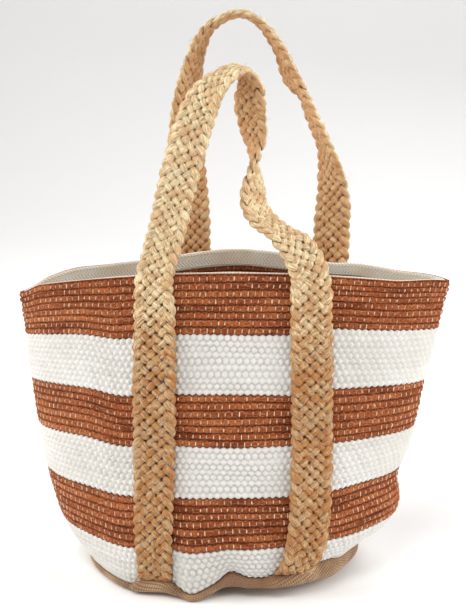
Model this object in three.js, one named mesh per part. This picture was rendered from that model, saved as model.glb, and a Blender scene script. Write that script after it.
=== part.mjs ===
// Woven market basket: a soft striped cotton body on an oval jute base, its mouth pinched to a
// lens shape, with two long plaited jute handles sewn to the outside.
// Millimetres, +Z up. The origin is the middle of the base, on the surface it stands on.
// -Y is the front panel, +X is to the right.
import * as THREE from 'three';

// ---------------------------------------------------------------- driving dimensions
const BODY_BOTTOM = 14;          // height of the seam between body and base
const BODY_HEIGHT = 314;         // from that seam to the rim, at the middle of a panel
const CORNER_SAG = 24;           // how far the rim drops at its two corners
const MIDDLE_HALF_WIDTH = 191;
const RIM_FLARE = 36;            // added to the half width at the rim
const END_TUCK = 34;             // taken off the half width where the body tucks into the base
const RIM_HALF_DEPTH = 52;
const BELLY = 72;                // added to the half depth towards the base
const SIDE_TUCK = 21;            // taken off the half depth where the body tucks into the base
const PINCH = 0.5;               // how far the plan changes from an oval to a lens at the rim

const CLOTH = 4;                 // thickness of the woven wall
const GAP = 0.3;                 // clearance between pieces that touch
const BASE_CLOTH = 4;
const BASE_ROUNDING = 7;         // the base cloth turns up over this radius

const TAPE_THICKNESS = 1.3;
const RIM_TAPE_WIDTH = 22;
const RIM_TAPE_DROP = 1.5;       // the tape starts this far below the rim edge
const SEAM_TAPE_WIDTH = 10;

const STRAP_WIDTH = 40;
const STRAP_THICKNESS = 8;
const STRAP_EDGE = 2.5;          // the strap's long edges are thinned by this much
const LEG_FOOT = 8;              // height of a sewn leg's lower end
const LEG_CLEARANCE = 0.9;       // between a sewn leg and the wall
const LOOP_LIFT = 1.5;           // free loop starts this far above the fold line

// Fractions of the body's height where one colour of weft ends and the next begins, rim first.
const STRIPE_EDGES = [1, 0.815, 0.624, 0.462, 0.303, 0.134, 0];
const STRIPE_PLACES = ['upper', 'middle', 'lower'];

const FRONT = -1;
const BACK = 1;
const PANEL_STEPS = 26;
const TUCK_LEVELS = 4;           // the lowest stripe curves in towards the base

const FINISH = {
  rust: { color: 0x9c4a2c, roughness: 0.9, metalness: 0 },
  white: { color: 0xe9e6df, roughness: 0.9, metalness: 0 },
  jute: { color: 0xc79a5e, roughness: 0.85, metalness: 0 },
  baseCloth: { color: 0xb38b5c, roughness: 0.9, metalness: 0 },
  tape: { color: 0xb9b2a4, roughness: 0.9, metalness: 0 },
};

// ---------------------------------------------------------------- the wall's shape
// h runs from 0 at the base seam to 1 at the rim.
const halfWidth = (h) => MIDDLE_HALF_WIDTH + RIM_FLARE * h ** 1.4 - END_TUCK * (1 - h) ** 10;
const halfDepth = (h) => RIM_HALF_DEPTH + BELLY * (1 - h) - SIDE_TUCK * (1 - h) ** 12;
const lens = (a, h) => Math.sign(Math.sin(a)) * Math.abs(Math.sin(a)) ** (1 + PINCH * h);

// Point on the wall at angle a round the plan. Inset moves it inwards from the outer face.
function wallPoint(a, h, inset = 0) {
  const sag = CORNER_SAG * Math.cos(a) ** 2 * h ** 1.5;
  return new THREE.Vector3(
    (halfWidth(h) - inset) * Math.cos(a),
    (halfDepth(h) - inset) * lens(a, h),
    BODY_BOTTOM + BODY_HEIGHT * h - sag,
  );
}

// Point on the front or back wall at a given distance to the right of the middle.
function panelPoint(x, h, side, inset = 0) {
  const a = Math.acos(x / halfWidth(h));
  const p = wallPoint(side * a, h, inset);
  return new THREE.Vector3(x, p.y, p.z);
}

// Angle at which the wall comes within the clearance of the side seam's plane.
function seamAngle(h, inset) {
  const reach = (GAP / (halfDepth(h) - inset)) ** (1 / (1 + PINCH * h));
  return Math.asin(reach);
}

// ---------------------------------------------------------------- solids from sections
// Joins a row of closed sections, each with the same even number of points. An open row gets
// end faces laddered across the section; a ring joins its last section to its first.
function loft(sections, ring = false) {
  const count = sections[0].length;
  const positions = sections.flat().flatMap((p) => [p.x, p.y, p.z]);
  const index = [];
  const quad = (a, b, c, d) => index.push(a, b, c, a, c, d);
  const spans = ring ? sections.length : sections.length - 1;
  for (let s = 0; s < spans; s += 1) {
    const here = s * count;
    const next = ((s + 1) % sections.length) * count;
    for (let i = 0; i < count; i += 1) {
      const j = (i + 1) % count;
      quad(here + i, here + j, next + j, next + i);
    }
  }
  if (!ring) {
    const last = (sections.length - 1) * count;
    for (let i = 0; i < count / 2 - 1; i += 1) {
      const [near, far] = [i, count - 1 - i];
      quad(near, far, far - 1, near + 1);
      quad(last + near, last + near + 1, last + far - 1, last + far);
    }
  }
  const geometry = new THREE.BufferGeometry();
  geometry.setAttribute('position', new THREE.Float32BufferAttribute(positions, 3));
  geometry.setIndex(index);
  return facingOut(geometry);
}

// Turns every triangle round when the solid's signed volume is negative.
function facingOut(geometry) {
  const position = geometry.getAttribute('position');
  const index = geometry.getIndex();
  const [a, b, c] = [new THREE.Vector3(), new THREE.Vector3(), new THREE.Vector3()];
  let volume = 0;
  for (let i = 0; i < index.count; i += 3) {
    a.fromBufferAttribute(position, index.getX(i));
    b.fromBufferAttribute(position, index.getX(i + 1));
    c.fromBufferAttribute(position, index.getX(i + 2));
    volume += a.dot(b.cross(c));
  }
  if (volume < 0) {
    for (let i = 0; i < index.count; i += 3) {
      const swap = index.getX(i + 1);
      index.setX(i + 1, index.getX(i + 2));
      index.setX(i + 2, swap);
    }
  }
  geometry.computeVertexNormals();
  return geometry;
}

const basket = new THREE.Group();

function addPiece(name, geometry, finish) {
  const mesh = new THREE.Mesh(geometry, new THREE.MeshStandardMaterial(finish));
  mesh.name = name;
  basket.add(mesh);
}

// ---------------------------------------------------------------- woven body
// One stripe of one panel, from side seam to side seam. Its section is taken across the wall.
function stripe(side, top, bottom) {
  const clearance = GAP / 2 / BODY_HEIGHT;
  const levels = bottom === 0 ? TUCK_LEVELS : 2;
  const heights = [];
  for (let n = 0; n <= levels; n += 1) {
    const h = bottom + (top - bottom) * (n / levels);
    heights.push(THREE.MathUtils.clamp(h, bottom + clearance, top - clearance));
  }
  const sections = [];
  for (let s = 0; s <= PANEL_STEPS; s += 1) {
    const face = (h, inset) => {
      const start = seamAngle(h, CLOTH);
      return wallPoint(side * (start + (Math.PI - 2 * start) * (s / PANEL_STEPS)), h, inset);
    };
    const outer = heights.map((h) => face(h, 0));
    const inner = heights.map((h) => face(h, CLOTH)).reverse();
    sections.push([...outer, ...inner]);
  }
  return loft(sections);
}

for (const [side, sideName] of [[FRONT, 'front'], [BACK, 'back']]) {
  for (let n = 0; n < STRIPE_EDGES.length - 1; n += 1) {
    const colour = n % 2 === 0 ? 'rust' : 'white';
    const name = `${sideName}_${colour}_band_${STRIPE_PLACES[Math.floor(n / 2)]}`;
    addPiece(name, stripe(side, STRIPE_EDGES[n], STRIPE_EDGES[n + 1]), FINISH[colour]);
  }
}

// ---------------------------------------------------------------- tapes inside the body
const heightFraction = (drop) => 1 - drop / BODY_HEIGHT;

// A closed band of tape lying against the inside of the wall between two heights.
function tapeRing(top, bottom) {
  const steps = 2 * PANEL_STEPS;
  const near = CLOTH + 2 * GAP;
  const far = near + TAPE_THICKNESS;
  const sections = [];
  for (let s = 0; s < steps; s += 1) {
    const a = (2 * Math.PI * s) / steps;
    sections.push([
      wallPoint(a, bottom, near), wallPoint(a, top, near),
      wallPoint(a, top, far), wallPoint(a, bottom, far),
    ]);
  }
  return loft(sections, true);
}

const RIM_TAPE_TOP = heightFraction(RIM_TAPE_DROP);
const RIM_TAPE_BOTTOM = heightFraction(RIM_TAPE_DROP + RIM_TAPE_WIDTH);
const SEAM_TAPE_TOP = SEAM_TAPE_WIDTH / BODY_HEIGHT;
addPiece('rim_tape', tapeRing(RIM_TAPE_TOP, RIM_TAPE_BOTTOM), FINISH.tape);
addPiece('base_seam_tape', tapeRing(SEAM_TAPE_TOP, 0.002), FINISH.tape);

// Folded tape that covers the raw edges of a side seam. It stands inwards from the corner.
function sideBinding(direction) {
  const steps = 14;
  const stand = 10;              // how far it reaches into the basket
  const cornerRoom = 3.2;        // keeps it clear of the narrow corner
  const halfTape = TAPE_THICKNESS * 0.9;
  const bottom = SEAM_TAPE_TOP + 0.004;
  const top = RIM_TAPE_BOTTOM - 0.004;
  const sections = [];
  for (let s = 0; s <= steps; s += 1) {
    const h = bottom + (top - bottom) * (s / steps);
    const corner = wallPoint(0, h, CLOTH + cornerRoom);
    const outer = direction * corner.x;
    const inner = direction * (corner.x - stand);
    sections.push([
      new THREE.Vector3(outer, -halfTape, corner.z), new THREE.Vector3(outer, halfTape, corner.z),
      new THREE.Vector3(inner, halfTape, corner.z), new THREE.Vector3(inner, -halfTape, corner.z),
    ]);
  }
  return loft(sections);
}

addPiece('left_seam_binding', sideBinding(-1), FINISH.tape);
addPiece('right_seam_binding', sideBinding(1), FINISH.tape);

// ---------------------------------------------------------------- oval base
// A flat oval of jute cloth whose edge is turned up all round to meet the body.
function basePanel() {
  const steps = 56;
  const width = halfWidth(0);
  const depth = halfDepth(0);
  const oval = (inset, z) => {
    const points = [];
    for (let s = 0; s < steps; s += 1) {
      const a = (2 * Math.PI * s) / steps;
      points.push(new THREE.Vector3((width - inset) * Math.cos(a), (depth - inset) * Math.sin(a), z));
    }
    return points;
  };
  const top = BODY_BOTTOM - GAP;
  return loft([
    oval(BASE_ROUNDING, 0),
    oval(BASE_ROUNDING * 0.3, BASE_ROUNDING * 0.3),
    oval(0, BASE_ROUNDING),
    oval(0, top),
    oval(BASE_CLOTH, top),
    oval(BASE_CLOTH, BASE_ROUNDING),
    oval(BASE_ROUNDING, BASE_CLOTH),
  ]);
}

addPiece('base_panel', basePanel(), FINISH.baseCloth);

// ---------------------------------------------------------------- handles
// Each handle is one flat plaited strap. Its two ends are sewn up the panel, foot to rim, and the
// stretch between them is free. The section runs across the back, then across the face.
const HALF_STRAP = STRAP_WIDTH / 2;
const FACE_ACROSS = [1, 0.8, 0, -0.8, -1];
const FACE_OUT = [1 - STRAP_EDGE / STRAP_THICKNESS, 1, 1, 1, 1 - STRAP_EDGE / STRAP_THICKNESS];

// A sewn leg lies on the wall. Its middle is at footX at the base and rimX at the rim. The higher the
// curl, the nearer the foot the leg bends towards it.
function sewnLeg(side, footX, rimX, curl) {
  const steps = 16;
  const topEdge = 0.997;
  const sections = [];
  for (let s = 0; s <= steps; s += 1) {
    const h = s === 0 ? 0 : topEdge * (s / steps) ** 1.3;
    const drop = s === 0 ? BODY_BOTTOM - LEG_FOOT : 0;
    const middle = rimX + (footX - rimX) * (1 - h) ** curl;
    const at = (across, out) => {
      const p = panelPoint(middle + across * HALF_STRAP, h, side, -LEG_CLEARANCE - out * STRAP_THICKNESS);
      p.z -= drop;
      return p;
    };
    const back = [-1, -0.5, 0, 0.5, 1].map((across) => at(across, 0));
    const face = FACE_ACROSS.map((across, i) => at(across, FACE_OUT[i]));
    sections.push([...back, ...face]);
  }
  return loft(sections);
}

// The free stretch follows a route. Each stop is x, y, z and how far the strap's face has turned
// from looking straight out of its panel, in degrees.
function freeLoop(side, stops) {
  const steps = 54;
  const route = new THREE.CatmullRomCurve3(stops.map(([x, y, z]) => new THREE.Vector3(x, y, z)));
  const turns = new THREE.CatmullRomCurve3(stops.map(([, , , turn]) => new THREE.Vector3(turn, 0, 0)));
  const outwards = new THREE.Vector3(0, side, 0);
  const sections = [];
  for (let s = 0; s <= steps; s += 1) {
    const t = s / steps;
    const centre = route.getPoint(t);
    const along = s === 0 || s === steps
      ? new THREE.Vector3(0, 0, s === 0 ? 1 : -1)
      : route.getTangent(t);
    const turn = THREE.MathUtils.degToRad(turns.getPoint(t).x);
    const across = new THREE.Vector3().crossVectors(along, outwards).normalize();
    const facing = new THREE.Vector3().crossVectors(across, along).normalize();
    const width = across.clone().multiplyScalar(Math.cos(turn)).addScaledVector(facing, -Math.sin(turn));
    const face = facing.clone().multiplyScalar(Math.cos(turn)).addScaledVector(across, Math.sin(turn));
    const at = (w, out) => centre.clone()
      .addScaledVector(width, w * HALF_STRAP)
      .addScaledVector(face, (out - 0.5) * STRAP_THICKNESS);
    const backPoints = [-1, -0.5, 0, 0.5, 1].map((w) => at(w, 0));
    const facePoints = FACE_ACROSS.map((w, i) => at(w, FACE_OUT[i]));
    sections.push([...backPoints, ...facePoints]);
  }
  return loft(sections);
}

// Middle of a leg's thickness at the rim, raised to where the free loop starts.
function loopEnd(side, x, foldHeight) {
  const p = panelPoint(x, 1, side, -LEG_CLEARANCE - STRAP_THICKNESS / 2);
  return [x, p.y, foldHeight + LOOP_LIFT, 0];
}

const HANDLES = [
  {
    name: 'front',
    side: FRONT,
    foldHeight: 327.5,
    legs: { left: [-78, -71, 2], right: [62, 85.5, 9] },
    stops: [
      [-57, -52, 372, 0], [-44, -49, 421, 0], [-29, -44, 469, -5], [-15, -38, 503, -30], [4, -30, 522, -62],
      [22, -24, 527, -98], [28, -20, 508, -138], [26, -16, 490, -148], [29, -14, 463, -136], [28, -13, 433, -92],
      [27, -14, 412, -64], [28, -17, 392, -58], [39, -25, 377, -65], [56, -37, 367, -68], [74, -47, 352, -34],
    ],
  },
  {
    name: 'back',
    side: BACK,
    foldHeight: 329,
    legs: { left: [-45, -49, 1], right: [94, 100.5, 1] },
    stops: [
      [-49, 56, 371, 6], [-51, 57, 409, 16], [-53, 57, 447, 30], [-51, 57, 484, 48], [-45, 57, 515, 62],
      [-36, 56, 546, 76], [-20, 54, 570, 86], [9, 52, 581, 88], [31, 51, 571, 81], [50, 51, 545, 72],
      [63, 52, 513, 62], [75, 53, 496, 75], [82, 53, 477, 71], [97, 54, 439, 63], [104, 55, 396, 30],
      [102, 53, 358, 2],
    ],
  },
];

for (const { name, side, foldHeight, legs, stops } of HANDLES) {
  addPiece(`${name}_handle_left_leg`, sewnLeg(side, ...legs.left), FINISH.jute);
  addPiece(`${name}_handle_right_leg`, sewnLeg(side, ...legs.right), FINISH.jute);
  const start = loopEnd(side, legs.left[1], foldHeight);
  const finish = loopEnd(side, legs.right[1], foldHeight);
  addPiece(`${name}_handle_loop`, freeLoop(side, [start, ...stops, finish]), FINISH.jute);
}

export default basket;
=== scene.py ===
import math

import bmesh
import bpy
import numpy as np
from mathutils import Matrix, Quaternion, Vector


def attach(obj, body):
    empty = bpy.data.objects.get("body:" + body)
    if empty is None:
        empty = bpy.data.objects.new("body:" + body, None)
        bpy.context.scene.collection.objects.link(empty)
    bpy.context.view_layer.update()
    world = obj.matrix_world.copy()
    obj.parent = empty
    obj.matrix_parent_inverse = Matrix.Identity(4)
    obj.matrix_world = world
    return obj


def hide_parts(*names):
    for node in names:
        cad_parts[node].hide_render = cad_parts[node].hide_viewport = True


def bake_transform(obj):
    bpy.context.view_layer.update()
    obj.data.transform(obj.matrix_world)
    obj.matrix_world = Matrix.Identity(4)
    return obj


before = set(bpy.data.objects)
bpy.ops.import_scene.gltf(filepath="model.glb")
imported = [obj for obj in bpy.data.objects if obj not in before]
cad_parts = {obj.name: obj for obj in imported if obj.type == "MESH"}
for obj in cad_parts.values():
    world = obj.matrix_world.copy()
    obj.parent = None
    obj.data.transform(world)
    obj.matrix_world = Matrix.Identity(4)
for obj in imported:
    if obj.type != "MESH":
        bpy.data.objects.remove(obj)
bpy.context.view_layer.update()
rng = np.random.default_rng(11)

# ---------------------------------------------------------------- sizes, in metres
BODY_BOTTOM = 0.014
BODY_HEIGHT = 0.314
CORNER_SAG = 0.024
CLOTH = 0.004
PANEL_CELLS = 68                 # warp yarns that show across one panel
SIDES = {"front": -1, "back": 1}

# Stripes from the rim down: name, colour, top and bottom as fractions of the body, rows of weft.
STRIPES = [
    ("rust_band_upper", "rust", 1.0, 0.815, 8),
    ("white_band_upper", "white", 0.815, 0.624, 10),
    ("rust_band_middle", "rust", 0.624, 0.462, 7),
    ("white_band_middle", "white", 0.462, 0.303, 9),
    ("rust_band_lower", "rust", 0.303, 0.134, 7),
    ("white_band_lower", "white", 0.134, 0.0, 7),
]

STRAP_HALF = 0.020
STRAP_THICKNESS = 0.008
STRANDS = 7
PLAIT_PERIOD = 0.077             # length of strap in which a strand crosses over and back


# ---------------------------------------------------------------- camera and studio
def place_camera():
    azimuth, elevation, roll = math.radians(8), math.radians(14), math.radians(2)
    target, distance = Vector((0, 0, 0.283)), 1.2
    back = Vector((
        math.sin(azimuth) * math.cos(elevation),
        -math.cos(azimuth) * math.cos(elevation),
        math.sin(elevation),
    ))
    data = bpy.data.cameras.new("camera")
    data.sensor_width = 36
    data.lens = 67.06
    camera = bpy.data.objects.new("camera", data)
    camera.location = target + back * distance
    turn = back.to_track_quat("Z", "Y") @ Quaternion((0, 0, 1), -roll)
    camera.rotation_euler = turn.to_euler()
    bpy.context.scene.collection.objects.link(camera)
    bpy.context.scene.camera = camera


def soft_light(name, place, aim, size, power, colour=(1, 1, 1)):
    data = bpy.data.lights.new(name, "AREA")
    data.shape = "DISK"
    data.size = size
    data.energy = power
    data.color = colour
    lamp = bpy.data.objects.new(name, data)
    lamp.location = place
    lamp.rotation_euler = (Vector(place) - Vector(aim)).to_track_quat("Z", "Y").to_euler()
    bpy.context.scene.collection.objects.link(lamp)


def set_studio():
    """A pale room, with a large soft light at each side and a weak one from the upper left."""
    scene = bpy.context.scene
    scene.view_settings.view_transform = "Standard"
    world = bpy.data.worlds.new("studio")
    world.use_nodes = True
    world.node_tree.nodes["Background"].inputs["Color"].default_value = (1, 1, 1, 1)
    world.node_tree.nodes["Background"].inputs["Strength"].default_value = 0.44
    scene.world = world
    middle = (0, 0, 0.25)
    soft_light("left", (-2.3, -0.4, 1.3), middle, 1.6, 46, (1, 0.985, 0.96))
    soft_light("right", (2.3, -0.3, 1.2), middle, 1.6, 46, (1, 0.985, 0.97))
    soft_light("key", (-0.4, -1.3, 2.5), middle, 1.2, 22, (1, 0.98, 0.95))
    soft_light("rim", (0.4, 1.8, 1.7), middle, 1.4, 14)
    backdrop()


def backdrop():
    """Pale paper: a floor that bends up into a wall behind the basket."""
    bend_start, bend_radius, steps = 1.8, 1.6, 48
    bm = bmesh.new()
    bmesh.ops.create_grid(bm, x_segments=1, y_segments=steps, size=7)
    for v in bm.verts:
        run = v.co.y + 7 - 8
        turn = min(max((run - bend_start) / bend_radius, 0), math.pi / 2)
        past = max(run - bend_start - bend_radius * math.pi / 2, 0)
        v.co.y = min(run, bend_start) + bend_radius * math.sin(turn)
        v.co.z = bend_radius * (1 - math.cos(turn)) + past - 0.0005
    mesh = bpy.data.meshes.new("backdrop")
    bm.to_mesh(mesh)
    bm.free()
    mesh.shade_smooth()
    paper = bpy.data.objects.new("backdrop", mesh)
    bpy.context.scene.collection.objects.link(paper)
    finish = bpy.data.materials.new("pale_paper")
    finish.use_nodes = True
    finish.node_tree.nodes["Principled BSDF"].inputs["Base Color"].default_value = (0.93, 0.93, 0.93, 1)
    finish.node_tree.nodes["Principled BSDF"].inputs["Roughness"].default_value = 0.9
    mesh.materials.append(finish)
    return paper


place_camera()
set_studio()


# ---------------------------------------------------------------- the cloth's shape
def smooth(low, high, value):
    t = np.clip((value - low) / (high - low), 0, 1)
    return t * t * (3 - 2 * t)


def bell(value, middle, width):
    return np.exp(-(((value - middle) / width) ** 2))


def half_width(h):
    k = np.clip(h, 0, 1)
    return 0.191 + 0.036 * k**1.4 - 0.034 * (1 - k) ** 10


def half_depth(h):
    k = np.clip(h, 0, 1)
    return 0.052 + 0.072 * (1 - k) - 0.021 * (1 - k) ** 12


def wall(angle, h, out=0.0):
    """Point on the wall: an oval at the base that narrows to a lens at the rim. Out is outwards."""
    k = np.clip(h, 0, 1)
    sine = np.sin(angle)
    x = (half_width(h) + out) * np.cos(angle)
    y = (half_depth(h) + out) * np.sign(sine) * np.abs(sine) ** (1 + 0.5 * k)
    z = BODY_BOTTOM + BODY_HEIGHT * h - CORNER_SAG * np.cos(angle) ** 2 * k**1.5
    return np.stack(np.broadcast_arrays(x, y, z), -1)


def lean(h):
    """How far the standing body leans to the left, at a height."""
    return -0.016 * bell(h, 0.38, 0.5)


def hem_lift(x):
    """How far the front hem is lifted from the base seam's level: it hangs in a lobe left of the middle,
    puckers up beside it and rises towards the right."""
    lobe = -0.0062 * bell(x, -0.038, 0.015) + 0.015 * bell(x, 0.004, 0.014)
    rise = 0.009 * smooth(0.005, 0.03, x) + 0.009 * smooth(0.06, 0.09, x) * smooth(0.13, 0.10, x)
    return lobe + rise - 0.004 * smooth(-0.085, -0.105, x)


def drape(points, h):
    """Soft unevenness of the standing cloth: it leans left, its right end tucks in and its hem waves."""
    h = np.clip(h, 0, 1)
    k = 1 - h
    x, y, z = points[..., 0], points[..., 1], points[..., 2]
    x = x * (1 + 0.013 * bell(h, 0.68, 0.3)) + lean(h)
    front = smooth(0.0, -0.05, y)
    tuck = -0.026 * bell(h, -0.02, 0.10) - 0.009 * bell(h, 0.27, 0.08)
    right = 0.0065 * smooth(0.07, 0.10, x) * smooth(0.5, 0.62, h) * smooth(1, 0.9, h)
    right = right + 0.004 * smooth(0.09, 0.16, x) * smooth(0.62, 0.4, h)
    left = -0.003 * smooth(-0.075, -0.105, x) * smooth(0.35, 0.1, h)
    left = left + 0.006 * smooth(-0.09, -0.15, x) * bell(h, 0.6, 0.22)
    left = left - 0.0045 * bell(x, -0.115, 0.03) * smooth(1, 0.85, h) * smooth(0.0, 0.3, h)
    forward = -0.012 * bell(x, -0.038, 0.017) + 0.004 * bell(x, 0.004, 0.014)
    forward = forward - 0.012 * bell(x, -0.105, 0.035)
    swell = 0.0020 * np.sin(31 * x + 9 * h + 0.6) * np.sin(8 * h + 0.8) * np.sign(y)
    back_rim = 0.0052 * bell(x, -0.003, 0.055) + 0.004 * bell(x, -0.18, 0.03) - 0.0035 * bell(x, 0.1, 0.02)
    corner = (0.005 * smooth(0.165, 0.215, x) - 0.006 * smooth(-0.2, -0.228, x)) * h**8
    rise = right + left + corner + hem_lift(x) * front * k**14 + back_rim * smooth(0, 0.03, y) * h**4
    return np.stack([
        x + tuck * smooth(0.09, 0.16, x),
        y + forward * front * k**6 + swell * k**0.7 * smooth(0.0, 0.03, np.abs(y)),
        z + rise,
    ], -1)


ARC_LEVELS = 33
ARC_STEPS = 400


def arc_table():
    """Angles that divide a half turn of the wall into equal lengths of cloth, for a range of heights."""
    turns = np.linspace(0, math.pi, ARC_STEPS + 1)
    rows = []
    for h in np.linspace(0, 1, ARC_LEVELS):
        run = np.linalg.norm(np.diff(wall(turns, h), axis=0), axis=1)
        run = np.concatenate([[0], np.cumsum(run)])
        rows.append(np.interp(np.linspace(0, 1, ARC_STEPS + 1), run / run[-1], turns))
    return np.array(rows)


ARCS = arc_table()


def arc_angle(u, h):
    """Angle of the point a share u of the way along a panel, 0 at the right seam and 1 at the left."""
    level = np.clip(h, 0, 1) * (ARC_LEVELS - 1)
    step = np.clip(u, 0, 1) * ARC_STEPS
    i = np.minimum(level.astype(int), ARC_LEVELS - 2)
    j = np.minimum(step.astype(int), ARC_STEPS - 1)
    f, g = level - i, step - j
    low = ARCS[i, j] * (1 - g) + ARCS[i, j + 1] * g
    high = ARCS[i + 1, j] * (1 - g) + ARCS[i + 1, j + 1] * g
    return low * (1 - f) + high * f


def cloth(u, h, side, out=0.0):
    """Point of a panel, with its unevenness. Side is -1 for the front and 1 for the back."""
    u, h = np.broadcast_arrays(np.asarray(u, float), np.asarray(h, float))
    return drape(wall(side * arc_angle(u, h), h, out), h)


def cloth_at(x, h, side, out=0.0):
    """Point of a panel a given distance to the right of the basket's middle, after the cloth leans."""
    x, h = np.broadcast_arrays(np.asarray(x, float), np.asarray(h, float))
    x = x - lean(np.clip(h, 0, 1))
    angle = np.arccos(np.clip(x / half_width(h), -1, 1))
    point = wall(side * angle, h, out)
    point[..., 0] = x
    return drape(point, h)


# ---------------------------------------------------------------- mesh help
def unit(v):
    return v / np.linalg.norm(v, axis=-1, keepdims=True)


def grid_mesh(columns, rows):
    """A bmesh grid's mesh and the whole-number column and row of each of its vertices."""
    bm = bmesh.new()
    bmesh.ops.create_grid(bm, x_segments=columns, y_segments=rows, size=0.5)
    mesh = bpy.data.meshes.new("grid")
    bm.to_mesh(mesh)
    bm.free()
    flat = np.empty(len(mesh.vertices) * 3)
    mesh.vertices.foreach_get("co", flat)
    flat = flat.reshape(-1, 3)
    return mesh, np.rint((flat[:, 0] + 0.5) * columns), np.rint((flat[:, 1] + 0.5) * rows)


def set_places(mesh, points):
    mesh.vertices.foreach_set("co", np.ascontiguousarray(points, np.float32).ravel())


def note(mesh, name, values):
    """Stores three numbers a vertex, for a material to read."""
    layer = mesh.attributes.new(name, "FLOAT_VECTOR", "POINT")
    layer.data.foreach_set("vector", np.ascontiguousarray(values, np.float32).ravel())


def close_up(mesh, spacing=2e-6):
    """Merges the edges of a folded grid where they meet, fills its open ends and turns it outwards."""
    bm = bmesh.new()
    bm.from_mesh(mesh)
    edge_verts = [v for v in bm.verts if v.is_boundary]
    bmesh.ops.remove_doubles(bm, verts=edge_verts, dist=spacing)
    bmesh.ops.holes_fill(bm, edges=[e for e in bm.edges if e.is_boundary], sides=0)
    bmesh.ops.recalc_face_normals(bm, faces=bm.faces)
    bm.to_mesh(mesh)
    bm.free()


def add_piece(name, mesh, finish, body="body", stands_for=()):
    mesh.name = name
    mesh.materials.clear()
    mesh.materials.append(finish)
    mesh.shade_smooth()
    piece = bpy.data.objects.new(name, mesh)
    bpy.context.scene.collection.objects.link(piece)
    if body:
        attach(piece, body)
    if stands_for:
        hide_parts(*stands_for)
    return piece


def beads(places, across, along, outwards, segments=6, rings=4):
    """One mesh of many small round beads. Each has a place and three directed lengths."""
    whole, mesh = bmesh.new(), bpy.data.meshes.new("beads")
    for first in range(0, len(places), 30):
        few = bmesh.new()
        for i in range(first, min(first + 30, len(places))):
            turn = Matrix((across[i], along[i], outwards[i])).transposed().to_4x4()
            turn.translation = Vector(places[i])
            bmesh.ops.create_uvsphere(few, u_segments=segments, v_segments=rings, radius=0.5, matrix=turn)
        few.to_mesh(mesh)
        few.free()
        whole.from_mesh(mesh)
    whole.to_mesh(mesh)
    whole.free()
    return mesh


# ---------------------------------------------------------------- material help
def put(tree, kind, inputs=(), **settings):
    """Adds a node. Inputs maps a socket's name or number to a value or to another node's output."""
    node = tree.nodes.new(kind)
    for key, value in settings.items():
        setattr(node, key, value)
    for key, value in dict(inputs).items():
        if isinstance(value, bpy.types.NodeSocket):
            tree.links.new(value, node.inputs[key])
        else:
            node.inputs[key].default_value = value
    return node


def maths(tree, operation, a, b=0.0, c=0.0):
    return put(tree, "ShaderNodeMath", {0: a, 1: b, 2: c}, operation=operation).outputs[0]


def mix(tree, share, a, b):
    return put(tree, "ShaderNodeMix", {0: share, 6: a, 7: b}, data_type="RGBA").outputs[2]


def ramp(tree, value, *stops):
    node = put(tree, "ShaderNodeValToRGB", {0: value})
    while len(node.color_ramp.elements) < len(stops):
        node.color_ramp.elements.new(0.5)
    for element, (position, colour) in zip(node.color_ramp.elements, stops):
        element.position = position
        element.color = (*colour, 1) if len(colour) == 3 else colour
    return node.outputs[0]


def between(tree, value, low, high, to_low=0.0, to_high=1.0):
    node = put(tree, "ShaderNodeMapRange", {0: value, 1: low, 2: high, 3: to_low, 4: to_high},
               interpolation_type="SMOOTHSTEP")
    return node.outputs[0]


def noise(tree, vector, scale, detail=2.0, rough=0.5, stretch=None):
    if stretch:
        vector = put(tree, "ShaderNodeMapping", {0: vector, 3: stretch}).outputs[0]
    inputs = {"Vector": vector, "Scale": scale, "Detail": detail, "Roughness": rough}
    return put(tree, "ShaderNodeTexNoise", inputs).outputs[0]


def new_finish(name, roughness, sheen=0.0, sheen_tint=(1, 1, 1, 1), shine=0.25):
    finish = bpy.data.materials.new(name)
    finish.use_nodes = True
    surface = finish.node_tree.nodes["Principled BSDF"]
    surface.inputs["Roughness"].default_value = roughness
    surface.inputs["Specular IOR Level"].default_value = shine
    surface.inputs["Sheen Weight"].default_value = sheen
    surface.inputs["Sheen Roughness"].default_value = 0.6
    surface.inputs["Sheen Tint"].default_value = sheen_tint
    return finish, finish.node_tree, surface


def bump(tree, surface, height, distance, strength=1.0):
    node = put(tree, "ShaderNodeBump", {"Height": height, "Distance": distance, "Strength": strength})
    tree.links.new(node.outputs[0], surface.inputs["Normal"])


def yarn_group():
    """Twisted fibres along a yarn. In: yarn coordinates. Out: a streak mask and a fuzz mask."""
    tree = bpy.data.node_groups.new("yarn_fibres", "ShaderNodeTree")
    tree.interface.new_socket("Vector", in_out="INPUT", socket_type="NodeSocketVector")
    tree.interface.new_socket("Fineness", in_out="INPUT", socket_type="NodeSocketFloat")
    tree.interface.new_socket("Streak", in_out="OUTPUT", socket_type="NodeSocketFloat")
    tree.interface.new_socket("Fuzz", in_out="OUTPUT", socket_type="NodeSocketFloat")
    start = tree.nodes.new("NodeGroupInput")
    end = tree.nodes.new("NodeGroupOutput")
    streak = noise(tree, start.outputs["Vector"], start.outputs["Fineness"], 3, 0.6, (0.35, 2.6, 1))
    fuzz = noise(tree, start.outputs["Vector"], start.outputs["Fineness"], 4, 0.75, (2.2, 2.9, 1))
    tree.links.new(streak, end.inputs["Streak"])
    tree.links.new(fuzz, end.inputs["Fuzz"])
    return tree


YARN = yarn_group()


def yarn(tree, vector, fineness):
    node = put(tree, "ShaderNodeGroup", node_tree=YARN)
    tree.links.new(vector, node.inputs["Vector"])
    node.inputs["Fineness"].default_value = fineness
    return node.outputs["Streak"], node.outputs["Fuzz"]


def weave_parts(tree):
    """The weave note of a woven piece: its vector, cell, row and how far up the yarn's crown it is."""
    weave = put(tree, "ShaderNodeAttribute", attribute_name="weave").outputs["Vector"]
    parts = put(tree, "ShaderNodeSeparateXYZ", {0: weave}).outputs
    return weave, parts[0], parts[1], parts[2]


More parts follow.
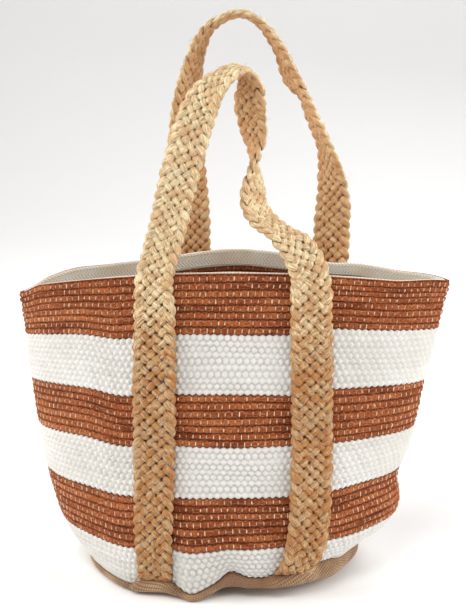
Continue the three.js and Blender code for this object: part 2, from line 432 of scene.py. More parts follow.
def warp_mask(tree, cell, row, width):
    """Where a thin warp yarn crosses over the weft: once a cell, half a cell along in every other row."""
    whole = maths(tree, "FLOOR", row)
    stagger = maths(tree, "MULTIPLY", maths(tree, "FLOORED_MODULO", whole, 2.0), 0.5)
    along = maths(tree, "FRACT", maths(tree, "ADD", cell, stagger))
    off = maths(tree, "MINIMUM", along, maths(tree, "SUBTRACT", 1.0, along))
    across = maths(tree, "ABSOLUTE", maths(tree, "SUBTRACT", maths(tree, "FRACT", row), 0.5))
    tick = between(tree, off, width, width * 0.4)
    return maths(tree, "MULTIPLY", tick, between(tree, across, 0.36, 0.28))


def rust_finish():
    finish, tree, surface = new_finish("rust_cotton_weft", 0.95, 0.06, (1, 0.7, 0.5, 1), shine=0.12)
    weave, cell, row, crown = weave_parts(tree)
    whole = maths(tree, "FLOOR", row)
    by_row = put(tree, "ShaderNodeCombineXYZ", {0: maths(tree, "MULTIPLY", cell, 0.09), 1: whole}).outputs[0]
    shade = noise(tree, by_row, 1.0, 2, 0.5, (1, 3.7, 1))
    colour = ramp(tree, shade, (0.36, (0.17, 0.034, 0.010)), (0.46, (0.29, 0.068, 0.021)),
                  (0.55, (0.37, 0.100, 0.032)), (0.66, (0.45, 0.138, 0.046)))
    streak, fuzz = yarn(tree, weave, 1.5)
    colour = mix(tree, between(tree, streak, 0.42, 0.66, 0.0, 0.6), colour, (0.54, 0.20, 0.078, 1))
    colour = mix(tree, between(tree, fuzz, 0.55, 0.38, 0.0, 0.8), colour, (0.13, 0.028, 0.010, 1))
    # Painted shade in the hollows between the rows of weft, its edge made ragged by the fibres.
    hollow_shade = maths(tree, "ADD", crown, maths(tree, "MULTIPLY_ADD", fuzz, 2.4, -1.2))
    colour = mix(tree, between(tree, hollow_shade, 0.70, 0.12, 0.0, 0.8), colour, (0.060, 0.013, 0.005, 1))
    thin = noise(tree, weave, 1.7, 1, 0.5, (1.3, 1.0, 1))
    shown = between(tree, thin, 0.42, 0.62, 0.0, 0.8)
    tick = maths(tree, "MULTIPLY", warp_mask(tree, cell, row, 0.10), shown)
    colour = mix(tree, tick, colour, (0.66, 0.45, 0.31, 1))
    tree.links.new(colour, surface.inputs["Base Color"])
    height = maths(tree, "ADD", maths(tree, "MULTIPLY", streak, 0.7), maths(tree, "MULTIPLY", fuzz, 0.6))
    bump(tree, surface, height, 0.0012, 0.9)
    return finish


def white_finish():
    finish, tree, surface = new_finish("white_cotton_weft", 0.95, 0.08, shine=0.15)
    weave, _, _, crown = weave_parts(tree)
    place = put(tree, "ShaderNodeTexCoord").outputs["Object"]
    tone = noise(tree, place, 14.0, 2)
    colour = ramp(tree, tone, (0.35, (0.67, 0.65, 0.605)), (0.62, (0.75, 0.735, 0.70)))
    streak, fuzz = yarn(tree, weave, 2.6)
    colour = mix(tree, between(tree, fuzz, 0.50, 0.30, 0.0, 0.35), colour, (0.62, 0.59, 0.53, 1))
    # Painted shade in the hollows between the weft's pebbles.
    colour = mix(tree, between(tree, crown, 0.40, 0.0, 0.0, 0.32), colour, (0.46, 0.44, 0.40, 1))
    tree.links.new(colour, surface.inputs["Base Color"])
    height = maths(tree, "ADD", maths(tree, "MULTIPLY", streak, 0.6), maths(tree, "MULTIPLY", fuzz, 0.4))
    bump(tree, surface, height, 0.0009, 0.7)
    return finish


def warp_finish():
    finish, tree, surface = new_finish("cream_warp", 0.85, 0.1)
    place = put(tree, "ShaderNodeTexCoord").outputs["Object"]
    tone = noise(tree, place, 160.0, 1)
    colour = ramp(tree, tone, (0.3, (0.42, 0.21, 0.12)), (0.52, (0.70, 0.47, 0.32)),
                  (0.7, (0.82, 0.66, 0.50)))
    tree.links.new(colour, surface.inputs["Base Color"])
    bump(tree, surface, noise(tree, place, 1400.0, 1), 0.0004, 0.5)
    return finish


def jute_finish():
    """Plaited jute. The strand note holds length along the strap, turn round the strand and the strand's
    own number. The face note holds 1 on the strap's outer face and 0 on its back, then 0 in the hollows
    between strands, where it sets painted shade, and 1 on their crowns and at the strap's edges."""
    finish, tree, surface = new_finish("plaited_jute", 0.74, 0.1, (1, 0.9, 0.7, 1))
    strand = put(tree, "ShaderNodeAttribute", attribute_name="strand").outputs["Vector"]
    face = put(tree, "ShaderNodeAttribute", attribute_name="face").outputs["Vector"]
    face_parts = put(tree, "ShaderNodeSeparateXYZ", {0: face}).outputs
    place = put(tree, "ShaderNodeTexCoord").outputs["Object"]
    streak = noise(tree, strand, 1.0, 3, 0.65, (150.0, 13.0, 9.0))
    fine = noise(tree, strand, 1.0, 2, 0.6, (330.0, 34.0, 9.0))
    blotch = noise(tree, place, 72.0, 3, 0.6)
    colour = ramp(tree, streak, (0.35, (0.30, 0.125, 0.038)), (0.44, (0.70, 0.400, 0.160)),
                  (0.52, (0.93, 0.650, 0.320)), (0.61, (1.0, 0.900, 0.620)))
    colour = mix(tree, between(tree, blotch, 0.50, 0.60, 0.0, 0.75), colour, (0.62, 0.25, 0.062, 1))
    colour = mix(tree, between(tree, blotch, 0.47, 0.36, 0.0, 0.6), colour, (1.0, 0.84, 0.53, 1))
    colour = mix(tree, between(tree, fine, 0.49, 0.37, 0.0, 0.8), colour, (0.20, 0.075, 0.022, 1))
    height = put(tree, "ShaderNodeSeparateXYZ", {0: place}).outputs[2]
    # Darker lower down the straps.
    colour = mix(tree, between(tree, height, 0.335, 0.215, 0.0, 0.6), colour, (0.42, 0.17, 0.052, 1))
    # Painted highlight: the tops of the loops are lightened as if lit from above.
    colour = mix(tree, between(tree, height, 0.24, 0.36, 0.0, 0.35), colour, (1.0, 0.84, 0.54, 1))
    colour = mix(tree, between(tree, face_parts[0], 0.55, 0.25, 0.0, 0.5), colour, (0.60, 0.225, 0.050, 1))
    # Painted shade in the hollows between the strands.
    colour = mix(tree, between(tree, face_parts[1], 0.72, 0.22, 0.0, 0.95), colour, (0.10, 0.034, 0.011, 1))
    tree.links.new(colour, surface.inputs["Base Color"])
    relief = maths(tree, "ADD", maths(tree, "MULTIPLY", streak, 0.8), maths(tree, "MULTIPLY", fine, 0.7))
    bump(tree, surface, relief, 0.0022, 1.0)
    return finish


def plain_weave(tree, vector, pitch):
    """Height of a fine plain weave: over and under yarns in a checker, from coordinates in metres."""
    scale = {0: vector, "Scale": math.pi / pitch}
    scaled = put(tree, "ShaderNodeVectorMath", scale, operation="SCALE").outputs[0]
    parts = put(tree, "ShaderNodeSeparateXYZ", {0: scaled}).outputs
    sine_a, sine_b = (maths(tree, "SINE", parts[i]) for i in (0, 1))
    return maths(tree, "ABSOLUTE", maths(tree, "MULTIPLY", sine_a, sine_b))


def base_finish():
    """Jute cloth. The cloth note holds a place on the flat cut cloth and its distance from the middle.
    Red-brown raw threads show at the middle of the front hem."""
    finish, tree, surface = new_finish("jute_cloth", 0.9, 0.15)
    note_out = put(tree, "ShaderNodeAttribute", attribute_name="cloth").outputs["Vector"]
    crown = plain_weave(tree, note_out, 0.0025)
    fuzz = yarn(tree, note_out, 900.0)[1]
    place = put(tree, "ShaderNodeTexCoord").outputs["Object"]
    tone = noise(tree, place, 30.0, 3)
    colour = ramp(tree, tone, (0.36, (0.25, 0.135, 0.064)), (0.5, (0.42, 0.250, 0.128)),
                  (0.62, (0.54, 0.350, 0.195)))
    colour = mix(tree, between(tree, fuzz, 0.5, 0.3, 0.0, 0.5), colour, (0.20, 0.11, 0.05, 1))
    # Painted shade between the yarns of the weave.
    colour = mix(tree, between(tree, crown, 0.5, 0.0, 0.0, 0.8), colour, (0.10, 0.050, 0.022, 1))
    x, _, z = put(tree, "ShaderNodeSeparateXYZ", {0: place}).outputs
    raw = maths(tree, "MULTIPLY", between(tree, x, -0.024, -0.008), between(tree, x, 0.055, 0.038))
    raw = maths(tree, "MULTIPLY", raw, between(tree, z, 0.008, 0.014, 0.0, 0.7))
    colour = mix(tree, raw, colour, (0.24, 0.105, 0.050, 1))
    tree.links.new(colour, surface.inputs["Base Color"])
    relief = maths(tree, "ADD", crown, maths(tree, "MULTIPLY", fuzz, 0.4))
    bump(tree, surface, relief, 0.0007, 0.9)
    return finish


def tape_finish():
    """Herringbone cotton tape. The tape note holds distance along the tape and across it, in metres."""
    finish, tree, surface = new_finish("herringbone_tape", 0.88, 0.2)
    tape = put(tree, "ShaderNodeAttribute", attribute_name="tape").outputs["Vector"]
    parts = put(tree, "ShaderNodeSeparateXYZ", {0: tape}).outputs
    column = maths(tree, "PINGPONG", parts[1], 0.0055)
    slant = maths(tree, "ADD", maths(tree, "MULTIPLY", parts[0], 1.0), maths(tree, "MULTIPLY", column, 0.9))
    rib = maths(tree, "ABSOLUTE", maths(tree, "SINE", maths(tree, "MULTIPLY", slant, math.pi / 0.0036)))
    place = put(tree, "ShaderNodeTexCoord").outputs["Object"]
    tone = noise(tree, place, 26.0, 3)
    colour = ramp(tree, tone, (0.34, (0.92, 0.80, 0.62)), (0.60, (1.0, 0.96, 0.86)))
    colour = mix(tree, between(tree, rib, 0.42, 0.1, 0.0, 0.7), colour, (0.42, 0.36, 0.27, 1))
    tree.links.new(colour, surface.inputs["Base Color"])
    bump(tree, surface, rib, 0.0005, 0.8)
    return finish


def thread_finish():
    finish, tree, surface = new_finish("sewing_thread", 0.6)
    place = put(tree, "ShaderNodeTexCoord").outputs["Object"]
    colour = ramp(tree, noise(tree, place, 60.0), (0.3, (0.52, 0.47, 0.38)), (0.7, (0.74, 0.70, 0.62)))
    tree.links.new(colour, surface.inputs["Base Color"])
    bump(tree, surface, noise(tree, place, 2500.0), 0.0002, 0.5)
    return finish


RUST, WHITE, WARP = rust_finish(), white_finish(), warp_finish()
JUTE, BASE_CLOTH, TAPE, THREAD = jute_finish(), base_finish(), tape_finish(), thread_finish()


# ---------------------------------------------------------------- woven stripes
OUTER_STEPS = 5                  # grid steps in a row of weft, outside
INNER_STEPS = 3                  # and inside
CELL_STEPS = 5
EDGE_WAVE = 0.0009               # how far neighbouring rows nest into each other where the colour changes
ROW_WAVE = {"rust": 0.0003, "white": 0.00125}   # and inside a stripe


def unevenness(a, b, seed):
    """Smooth irregular waves, between about -1 and 1."""
    waves = np.random.default_rng(seed)
    total = 0
    for _ in range(4):
        fa, fb, phase = waves.uniform(-1, 1), waves.uniform(-1, 1), waves.uniform(0, 2 * math.pi)
        total = total + np.sin(fa * a + fb * b + phase)
    return total / 4


def crown_height(cell, row, colour):
    """How far the weft stands out, from 0 in the hollows to 1 on a crown."""
    row_part = 1 - (2 * (row % 1) - 1) ** 2
    along = (cell + 0.5 * (np.floor(row) % 2)) % 1
    cell_part = 1 - (2 * along - 1) ** 2
    if colour == "white":
        return np.clip(row_part * cell_part, 0, 1) ** 0.85
    return row_part**0.6 * (0.70 + 0.30 * np.clip(cell_part, 0, 1) ** 0.5)


RELIEF = {"rust": 0.0018, "white": 0.0021}


def weft_place(cell, row, stripe, first_row, side, out):
    """Point on a stripe, with the rows nested into each other."""
    _, colour, top, bottom, rows = stripe
    share = (row - first_row) / rows
    h = top + (bottom - top) * share
    from_edge = np.minimum(np.minimum(row - first_row, first_row + rows - row), 1)
    wave = EDGE_WAVE + (ROW_WAVE[colour] - EDGE_WAVE) * smooth(0, 1, from_edge)
    nest = wave * np.cos(2 * math.pi * cell) * np.cos(math.pi * row) / BODY_HEIGHT
    loose = (0.0013 if colour == "white" else 0.0009) * unevenness(cell * 0.35, row * 1.1, 5) / BODY_HEIGHT
    inside = (h < 0.999) & (h > 0.001)
    h = h - np.where(inside, nest + loose, 0)
    return cloth(cell / PANEL_CELLS, h, side, out)


def woven_stripe(side_name, stripe, first_row):
    name, colour, top, bottom, rows = stripe
    side = SIDES[side_name]
    outer = rows * OUTER_STEPS
    inner = rows * INNER_STEPS
    over_rim = 4 if top == 1.0 else 1
    loop = outer + over_rim + inner + 1
    mesh, column, step = grid_mesh(PANEL_CELLS * CELL_STEPS, loop)
    cell = column / CELL_STEPS
    back = np.clip(step - outer - over_rim, 0, inner)
    on_outer = step <= outer
    on_inner = (step >= outer + over_rim) & (step < loop)
    row = np.where(on_outer, rows - step / OUTER_STEPS, np.where(on_inner, back / INNER_STEPS, 0.0))
    row = np.where(step == loop, rows, row) + first_row
    shape = np.minimum(row, first_row + rows - 1e-6)
    crown = crown_height(cell, shape, colour)
    crown = np.where((step == 0) | (step == outer) | (step == loop), 0.0, crown)
    uneven = 1 + 0.42 * unevenness(cell * 2.4, row * 2.9, 3)
    raised = RELIEF[colour] * (crown * uneven - 0.55)
    out = np.where(on_inner, -CLOTH - 0.7 * raised, raised)
    over = (step > outer) & (step < outer + over_rim)
    turn = (step - outer) / over_rim * math.pi
    out = np.where(over, -CLOTH / 2 + (CLOTH / 2 + 0.0004) * np.cos(turn), out)
    points = weft_place(cell, row, stripe, first_row, side, out)
    points[:, 2] += np.where(over & (over_rim > 1), 0.0012 * np.sin(turn), 0)
    set_places(mesh, points)
    note(mesh, "weave", np.stack([cell, row, np.where(over, 0.8, crown)], -1))
    close_up(mesh)
    node = f"{side_name}_{name}"
    piece = add_piece(f"{node}_cloth", mesh, RUST if colour == "rust" else WHITE,
                      stands_for=[node])
    middle_h = (top + bottom) / 2
    edge = cloth(np.linspace(0, 1, 200), middle_h, side)
    return piece


def warp_ticks(side_name):
    """The cream warp yarns that cross over the rust weft, one short float a cell."""
    side = SIDES[side_name]
    places, across, along, out = [], [], [], []
    first_row = 0
    for stripe in STRIPES:
        _, colour, top, bottom, rows = stripe
        if colour == "rust":
            for r in range(rows):
                row = first_row + r + 0.5
                cell = np.arange(1, PANEL_CELLS) - 0.5 * ((first_row + r) % 2)
                cell = cell[rng.random(len(cell)) < 0.78]
                cell = cell + rng.normal(0, 0.06, len(cell))
                rest = 0.0002 + 0.0006 * rng.random(len(cell))
                at = weft_place(cell, np.full(len(cell), row), stripe, first_row, side, rest)
                up = weft_place(cell, np.full(len(cell), row - 0.1), stripe, first_row, side, rest) - at
                beside = weft_place(cell + 0.1, np.full(len(cell), row), stripe, first_row, side, rest) - at
                up, beside = unit(up), unit(beside)
                tall = (top - bottom) * BODY_HEIGHT / rows * rng.uniform(0.35, 0.88, len(cell))
                places.append(at)
                across.append(beside * rng.uniform(0.0009, 0.0014, len(cell))[:, None])
                along.append(up * tall[:, None])
                out.append(np.cross(beside, up) * 0.0017)
        first_row += rows
    mesh = beads(*(np.concatenate(x) for x in (places, across, along, out)))
    return add_piece(f"{side_name}_warp_floats", mesh, WARP)


for side_name in SIDES:
    rows_above = 0
    for stripe in STRIPES:
        woven_stripe(side_name, stripe, rows_above)
        rows_above += stripe[4]
    warp_ticks(side_name)


# ---------------------------------------------------------------- tapes
def ring_place(t, h, out):
    """Point round the whole basket: t from 0 to 1 along the back, 1 to 2 along the front."""
    back = cloth(np.clip(t, 0, 1), h, 1, out)
    front = cloth(np.clip(2 - t, 0, 1), h, -1, out)
    return np.where((t <= 1)[:, None], back, front)


def tape_ring(name, node, top, width, inset, thickness=0.0013):
    """A band of tape round the inside of the wall, with rounded edges."""
    columns, section = 420, 12
    mesh, column, step = grid_mesh(columns, section)
    t = 2 * (column % columns) / columns
    spoke = step % section
    turn = 2 * math.pi * spoke / section
    across = np.sign(np.cos(turn)) * np.abs(np.cos(turn)) ** 0.35
    deep = np.sign(np.sin(turn)) * np.abs(np.sin(turn)) ** 0.6
    h = top - width / BODY_HEIGHT * (0.5 - 0.5 * across)
    h = h + 0.0006 * unevenness(np.cos(math.pi * t) * 25, 0, 22) / BODY_HEIGHT
    ripple = 0.0003 * unevenness(np.cos(math.pi * t) * 60, across, 21)
    set_places(mesh, ring_place(t, h, -inset - thickness / 2 + deep * thickness / 2 + ripple))
    run = ring_place(np.linspace(0, 2, 400), top, -inset)
    length = float(np.linalg.norm(np.diff(run, axis=0), axis=1).sum())
    note(mesh, "tape", np.stack([column / columns * length, across * width / 2, deep], -1))
    close_up(mesh)
    piece = add_piece(name, mesh, TAPE, stands_for=[node])


RIM_TAPE_TOP = 1 + 0.0018 / BODY_HEIGHT
RIM_TAPE_WIDTH = 0.0186
TAPE_INSET = CLOTH + 0.0008
tape_ring("rim_herringbone_tape", "rim_tape", RIM_TAPE_TOP, RIM_TAPE_WIDTH, TAPE_INSET)
tape_ring("base_seam_herringbone_tape", "base_seam_tape", 0.0112 / BODY_HEIGHT, 0.0102, TAPE_INSET)


def side_binding(name, node, angle):
    """Tape folded over the raw edges of a side seam. It stands inwards from the corner."""
    rows, section, stand, half = 110, 12, 0.010, 0.0012
    mesh, column, step = grid_mesh(rows, section)
    turn = 2 * math.pi * (step % section) / section
    across = np.sign(np.cos(turn)) * np.abs(np.cos(turn)) ** 0.4
    deep = np.sign(np.sin(turn)) * np.abs(np.sin(turn)) ** 0.7
    h = 0.036 + (0.902 - 0.036) * column / rows
    corner = wall(np.full_like(h, angle), h, -CLOTH - 0.0032 - stand * (0.5 - 0.5 * across))
    corner[:, 1] = deep * half + 0.0007 * unevenness(h * 40, across, 24)
    set_places(mesh, drape(corner, h))
    note(mesh, "tape", np.stack([h * BODY_HEIGHT, across * 0.0055 + deep * 0.0012, deep], -1))
    close_up(mesh)
    piece = add_piece(name, mesh, TAPE, stands_for=[node])


side_binding("left_seam_herringbone_tape", "left_seam_binding", math.pi)
side_binding("right_seam_herringbone_tape", "right_seam_binding", 0.0)


# ---------------------------------------------------------------- where the handles run
# Each handle's two legs, as the place of the foot, the place at the rim and how late the leg bends to its
# foot, then the stops of its free loop in millimetres, with how far the strap has turned, in degrees.
HANDLES = {
    "front": {
        "legs": ((-0.076, -0.071, 2), (0.062, 0.0855, 9)),
        "stops": [
            (-57, -52, 372, 0), (-44, -49, 421, 0), (-29, -44, 469, -5), (-15, -38, 503, -30),
            (4, -30, 522, -62), (22, -24, 527, -98), (28, -20, 508, -138), (26, -16, 490, -148),
            (29, -14, 463, -136), (28, -13, 433, -92), (27, -14, 412, -64), (28, -17, 392, -58),
            (39, -25, 377, -65), (56, -37, 367, -68), (74, -47, 352, -34),
        ],
    },
    "back": {
        "legs": ((-0.045, -0.049, 1), (0.094, 0.1005, 1)),
        "stops": [
            (-49, 56, 371, 6), (-51, 57, 409, 16), (-53, 57, 447, 30), (-51, 57, 484, 48),
            (-45, 57, 515, 62), (-36, 56, 546, 76), (-20, 54, 570, 86), (9, 52, 581, 88),
            (31, 51, 571, 81), (50, 51, 545, 72), (63, 52, 513, 62), (75, 53, 496, 75),
            (82, 53, 477, 71), (97, 54, 439, 63), (104, 55, 396, 30), (102, 53, 358, 2),
        ],
    },
}


# ---------------------------------------------------------------- base
BASE_THICKNESS = 0.004
BASE_MIDDLE = (-0.012, 0, 0)
FOOT_TUCK = 0.008                # how far the foot is in from the base seam
SEAM_LIP = 0.0055                # how far the base's edge stands out over a strap's foot
LIP_RISE = 0.0045                # and how much higher it is there
TURN_OVER = 0.006                # cloth used by the turned edge beyond its height


def base_lift(x, y):
    """How far the base's lower edge is off the floor: the soft base curls up towards the right."""
    front = smooth(0.0, -0.05, y)
    end = smooth(0.045, 0.115, x)
    return 0.0095 * front * smooth(-0.026, -0.004, x) * (1 - end) + end * (0.004 + 0.004 * front)


def over_feet(place):
    """1 where a strap's foot is under the base's edge, and 0 away from the feet."""
    x, y = place[..., 0], place[..., 1]
    feet = [(leg[0], SIDES[name]) for name, handle in HANDLES.items() for leg in handle["legs"]]
    return sum(smooth(0.028, 0.019, np.abs(x - foot)) * (y * side > 0) for foot, side in feet)


def base_section(t, step, steps):
    """Point of the jute base and its distance from the middle of the cut cloth. Steps run from the middle
    of the underside out to the edge, up to the seam, then back over the inside to the middle."""
    under, turn_up, fold = steps
    seam = ring_place(t, np.zeros_like(t), 0.0)
    beyond = ring_place(t, np.zeros_like(t), 0.001)
    outwards = unit((beyond - seam) * (1, 1, 0))
    lift = base_lift(seam[:, 0], seam[:, 1])
    height = seam[:, 2] - lift
    middle = np.array(BASE_MIDDLE)
    foot = seam - outwards * FOOT_TUCK
    foot[:, 2] = 0
    flat = np.linalg.norm(foot - middle, axis=1)

    def disc(share, thickness):
        place = middle + (foot - middle) * share[:, None]
        place[:, 2] = lift * smooth(0.5, 1.0, share) + thickness
        return place

    def rise(share, cloth_depth, cover):
        """From the seam, share 0, round to the foot, share 1. Cover is 1 where the edge laps a foot."""
        bulge = 0.0052 * np.sin(math.pi * share) ** 0.7 - FOOT_TUCK * share**2.5 - cloth_depth
        place = seam + outwards * (bulge + SEAM_LIP * cover * smooth(1, 0.4, share))[:, None]
        drop = (1 - np.cos(math.pi * share)) / 2
        place[:, 2] = seam[:, 2] - 0.0002 - (height - cloth_depth * 0.9) * drop
        place[:, 2] += LIP_RISE * cover * smooth(0.6, 0, share)
        return place

    top = under + turn_up
    inside = top + fold
    turned = height + TURN_OVER
    share_under = np.clip(step / under, 0, 1)
    share_up = np.clip((step - under) / turn_up, 0, 1)
    share_down = np.clip((step - inside) / turn_up, 0, 1)
    share_in = np.clip((step - inside - turn_up) / under, 0, 1)
    place = disc(share_under, 0.0)
    place = np.where((step > under)[:, None], rise(1 - share_up, 0.0, over_feet(seam)), place)
    place = np.where((step > top)[:, None], rise(share_down, BASE_THICKNESS, 0.0), place)
    place = np.where((step > inside + turn_up)[:, None], disc(1 - share_in, BASE_THICKNESS), place)
    reach = np.where(step <= under, share_under * flat, flat + share_up * turned)
    reach = np.where(step > top, flat + (1 - share_down) * turned, reach)
    reach = np.where(step > inside + turn_up, (1 - share_in) * flat, reach)
    return place, reach


def base_dish():
    columns, steps = 360, (26, 10, 1)
    rows = 2 * (steps[0] + steps[1]) + steps[2]
    mesh, column, step = grid_mesh(columns, rows)
    t = 2 * (column % columns) / columns
    place, reach = base_section(t, step, steps)
    ripple = unevenness(place[:, 0] * 160, place[:, 1] * 160, 41)
    near_edge = smooth(0.05, 0.09, reach)
    place[:, 2] += 0.0007 * ripple * near_edge
    heading = np.arctan2(place[:, 1], place[:, 0] - BASE_MIDDLE[0])
    set_places(mesh, place)
    note(mesh, "cloth", np.stack([reach * np.cos(heading), reach * np.sin(heading), reach], -1))
    close_up(mesh)
    piece = add_piece("jute_base_cloth", mesh, BASE_CLOTH, stands_for=["base_panel"])


base_dish()


# ---------------------------------------------------------------- plaited handles
def spline(stops, steps):
    """A smooth curve through stops, each a row of numbers, with steps points between neighbours."""
    stops = np.asarray(stops, float)
    padded_stops = np.vstack([2 * stops[0] - stops[1], stops, 2 * stops[-1] - stops[-2]])
    out = []
    t = np.linspace(0, 1, steps, endpoint=False)[:, None]
    for i in range(1, len(padded_stops) - 2):
        p0, p1, p2, p3 = padded_stops[i - 1:i + 3]
        out.append(0.5 * (2 * p1 + (p2 - p0) * t + (2 * p0 - 5 * p1 + 4 * p2 - p3) * t**2
                          + (3 * p1 - p0 - 3 * p2 + p3) * t**3))
    return np.vstack([*out, stops[-1:]])


LEG_CLEARANCE = 0.0012
LEG_STOPS = 12


def leg_stops(side, foot_x, rim_x, curl):
    """Stops up a sewn leg from just under the base's edge to the rim: place, then facing direction.
    Its foot strays from the line of the rest by more, and over a shorter stretch, the higher its curl."""
    h = 0.003 + 0.997 * np.linspace(0, 1, LEG_STOPS) ** 1.3
    x = rim_x + (foot_x - rim_x) * np.clip(1 - h, 0, 1) ** curl
    out = LEG_CLEARANCE + STRAP_THICKNESS / 2 - 0.003 * smooth(0.05, 0, h)
    place = cloth_at(x, h, side, out)
    up = cloth_at(x, h + 0.01, side, out) - cloth_at(x, h - 0.01, side, out)
    beside = cloth_at(x + 0.004, h, side, out) - cloth_at(x - 0.004, h, side, out)
    facing = unit(np.cross(beside, up))
    facing *= np.sign(facing[:, 1:2]) * side
    return place, facing


def loop_facing(places, turns, side):
    """Facing directions of the free loop, from how far it has turned at each stop."""
    along = unit(np.gradient(places, axis=0))
    across = unit(np.cross(along, (0, side, 0)))
    straight = np.cross(across, along)
    turns = np.radians(turns)[:, None]
    return straight * np.cos(turns) + across * np.sin(turns)


def strap_line(name):
    """Centre line, facing direction and distance along a whole strap, evenly spaced."""
    side = SIDES[name]
    handle = HANDLES[name]
    left, left_facing = leg_stops(side, *handle["legs"][0])
    right, right_facing = leg_stops(side, *handle["legs"][1])
    free = np.array(handle["stops"], float)
    stops = np.vstack([left, free[:, :3] / 1000, right[::-1]])
    facing = np.vstack([left_facing, np.zeros((len(free), 3)), right_facing[::-1]])
    turns = np.concatenate([[0], free[:, 3], [0]])
    around = stops[LEG_STOPS - 1:LEG_STOPS + len(free) + 1]
    facing[LEG_STOPS:LEG_STOPS + len(free)] = loop_facing(around, turns, side)[1:-1]
    dense = spline(np.hstack([stops, facing]), 40)
    line, facing = dense[:, :3], dense[:, 3:]
    run = np.concatenate([[0], np.cumsum(np.linalg.norm(np.diff(line, axis=0), axis=1))])
    return line, unit(facing), run


def sample(line, run, at):
    return np.stack([np.interp(at, run, line[:, i]) for i in range(line.shape[1])], -1)


STRAND_WIDE = 0.0038             # half widths of a strand's oval section
STRAND_DEEP = 0.0026
STRAND_SIDES = 12
SPACING = 0.0017


def plait_phase(tau):
    """Where a strand is across the strap, -1 to 1, and whether it is over or under, -1 to 1.
    Each pass across goes over and under the other strands in turn; at an edge it changes face."""
    across = np.arcsin(0.985 * np.cos(2 * math.pi * tau)) / math.asin(0.985)
    crossing = (tau * 2 * STRANDS) % STRANDS
    inner = STRANDS - 1
    phase = np.where(crossing < 1, crossing * 0.5, np.where(crossing < inner, crossing - 0.5,
                                                            inner - 0.5 + (crossing - inner) * 0.5))
    return across, np.sin(math.pi * phase)


def tube_strand(centre, wide, deep, half_wide, half_deep, run, seed):
    """Points of a strand's skin, one oval ring for each point of its centre line. Twisted bundles of
    fibre give it uneven ridges."""
    turn = 2 * math.pi * np.arange(STRAND_SIDES) / STRAND_SIDES
    ridge = [1 + 0.10 * unevenness(run * 150, 0, seed + j) for j in range(STRAND_SIDES)]
    ridge = np.stack(ridge, -1) + 0.10 * np.cos(3 * turn[None, :] + 260 * run[:, None] + seed)
    ridge = ridge[:, :, None]
    ring_wide = half_wide[:, None, None] * np.cos(turn)[None, :, None] * wide[:, None, :]
    ring_deep = half_deep[:, None, None] * np.sin(turn)[None, :, None] * deep[:, None, :]
    return centre[:, None, :] + (ring_wide + ring_deep) * ridge


def bend_at_rim(piece):
    """Bakes the piece's placement into its mesh."""
    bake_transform(piece)


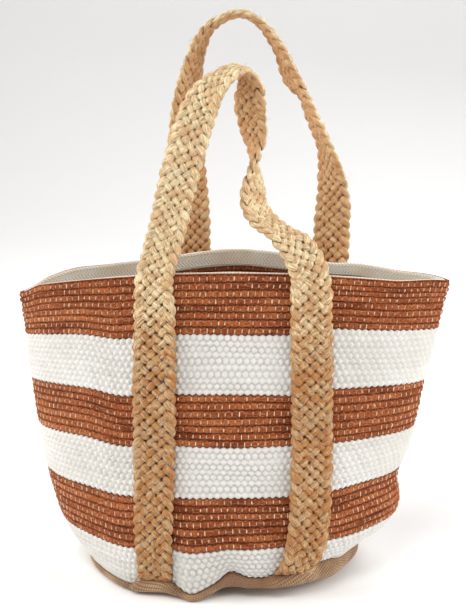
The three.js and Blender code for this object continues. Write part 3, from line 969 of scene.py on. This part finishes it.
def plaited_strap(name):
    """A whole handle, from the foot of its left leg round the loop to the foot of its right leg."""
    side = SIDES[name]
    line, facing, run = strap_line(name)
    at = np.arange(0, run[-1], SPACING)
    centre = sample(line, run, at)
    along = unit(np.gradient(centre, axis=0))
    face = sample(facing, run, at)
    face = unit(face - along * np.sum(face * along, axis=1)[:, None])
    across = np.cross(along, face)
    foot = np.minimum(at, run[-1] - at)
    tuck = smooth(0.0, 0.016, foot)
    breadth = (STRAP_HALF - STRAND_WIDE * 0.92) * (0.90 + 0.10 * smooth(0, 0.05, foot))
    breadth = breadth * (1 + (0.10 if side < 0 else 0.04) * smooth(0.335, 0.30, centre[:, 2]))
    if side < 0:
        spread = 0.12 * bell(centre[:, 2], 0.21, 0.09) - 0.07 * smooth(0.10, 0.04, centre[:, 2])
        breadth = breadth * (1 + spread * (at < run[-1] / 2))
    depth = 0.0018 * (0.35 + 0.65 * tuck)
    bm = bmesh.new()
    for k in range(STRANDS):
        drift = 0.018 * unevenness(at * 70, k * 3.0, 31 + k)
        reach, over = plait_phase(at / PLAIT_PERIOD + k / STRANDS + drift)
        breadth_here = breadth * (1 + 0.03 * unevenness(at * 40, 0, 77))
        path = centre + across * (reach * breadth_here)[:, None] + face * (over * depth)[:, None]
        heading = unit(np.gradient(path, axis=0))
        deep = unit(face - heading * np.sum(face * heading, axis=1)[:, None])
        wide = np.cross(heading, deep)
        swell = 1 + 0.10 * over * over + 0.14 * unevenness(at * 210, k * 2.0, 51 + k)
        skin = tube_strand(path, wide, deep, STRAND_WIDE * swell,
                           STRAND_DEEP * (0.5 + 0.5 * tuck) * (0.92 + 0.10 * over * over), at, 100 + 20 * k)
        rings = len(at)
        mesh, column, step = grid_mesh(rings - 1, STRAND_SIDES)
        ring = column.astype(int)
        spoke = step.astype(int) % STRAND_SIDES
        set_places(mesh, skin[ring, spoke])
        turn_share = np.where(step == STRAND_SIDES, 0, step) / STRAND_SIDES
        round_trip = np.abs(turn_share - 0.5) * 2
        own = np.full(len(ring), k * 1.7 + side * 0.4)
        note(mesh, "strand", np.stack([at[ring], round_trip * 0.5, own], -1))
        lifted = over[ring] * 0.5 + 0.5 * np.sin(2 * math.pi * spoke / STRAND_SIDES)
        # Crown sets where the material paints shade in the hollows between strands; the strap's edges stay
        # unshaded.
        crown = np.maximum(np.abs(lifted), 0.9 * smooth(0.72, 0.95, np.abs(reach[ring])))
        note(mesh, "face", np.stack([0.5 + 0.5 * lifted, crown, np.zeros(len(ring))], -1))
        close_up(mesh)
        bm.from_mesh(mesh)
        bpy.data.meshes.remove(mesh)
    mesh = bpy.data.meshes.new("strap")
    bm.to_mesh(mesh)
    bm.free()
    nodes = [f"{name}_handle_{part}" for part in ("left_leg", "right_leg", "loop")]
    piece = add_piece(f"{name}_plaited_handle", mesh, JUTE, None, nodes)
    bend_at_rim(piece)


for handle_name in HANDLES:
    plaited_strap(handle_name)


# ---------------------------------------------------------------- stitches and loose fibres
def stitches(name, places, heading, outwards, length=0.0042, thick=0.0007):
    """A row of short threads that lie on the cloth, one at each place."""
    heading, outwards = unit(heading), unit(outwards)
    beside = np.cross(heading, outwards)
    mesh = beads(places, beside * thick, heading * length, outwards * thick, 5, 4)
    return add_piece(name, mesh, THREAD)


def tape_stitches():
    """Two rows round the rim, seen on the tape inside: one under each of the tape's edges."""
    places, heading = [], []
    for drop in (0.0015, 0.0140):
        t = np.linspace(0, 2, 250, endpoint=False)
        h = np.full_like(t, 1 - drop / BODY_HEIGHT)
        at = ring_place(t, h, -TAPE_INSET - 0.0014)
        places.append(at)
        heading.append(np.roll(at, -1, axis=0) - np.roll(at, 1, axis=0))
    places, heading = np.vstack(places), np.vstack(heading)
    outwards = np.cross(heading, (0, 0, 1))
    return stitches("rim_tape_stitches", places, heading, outwards, 0.0032)


def loose_fibres(name):
    """Short stray ends of jute that stand off the sewn legs and the loop."""
    line, facing, run = strap_line(name)
    at = rng.uniform(0.01, run[-1] - 0.01, 260)
    centre, face = sample(line, run, at), unit(sample(facing, run, at))
    along = unit(sample(line, run, at + 0.002) - centre)
    across = np.cross(along, face)
    reach = rng.uniform(-1, 1, len(at))[:, None]
    lean_out = rng.uniform(0.1, 0.5, len(at))[:, None]
    heading = unit(along * rng.normal(0, 1, (len(at), 1)) + across * reach + face * lean_out)
    places = centre + across * reach * 0.018 + face * 0.0046
    third = unit(np.cross(heading, face))
    length = rng.uniform(0.006, 0.013, (len(at), 1))
    mesh = beads(places, third * 0.00035, heading * length, np.cross(third, heading) * 0.00035, 4, 4)
    piece = add_piece(f"{name}_loose_jute_fibres", mesh, THREAD, body=None)
    bend_at_rim(piece)


tape_stitches()
for handle_name in HANDLES:
    loose_fibres(handle_name)
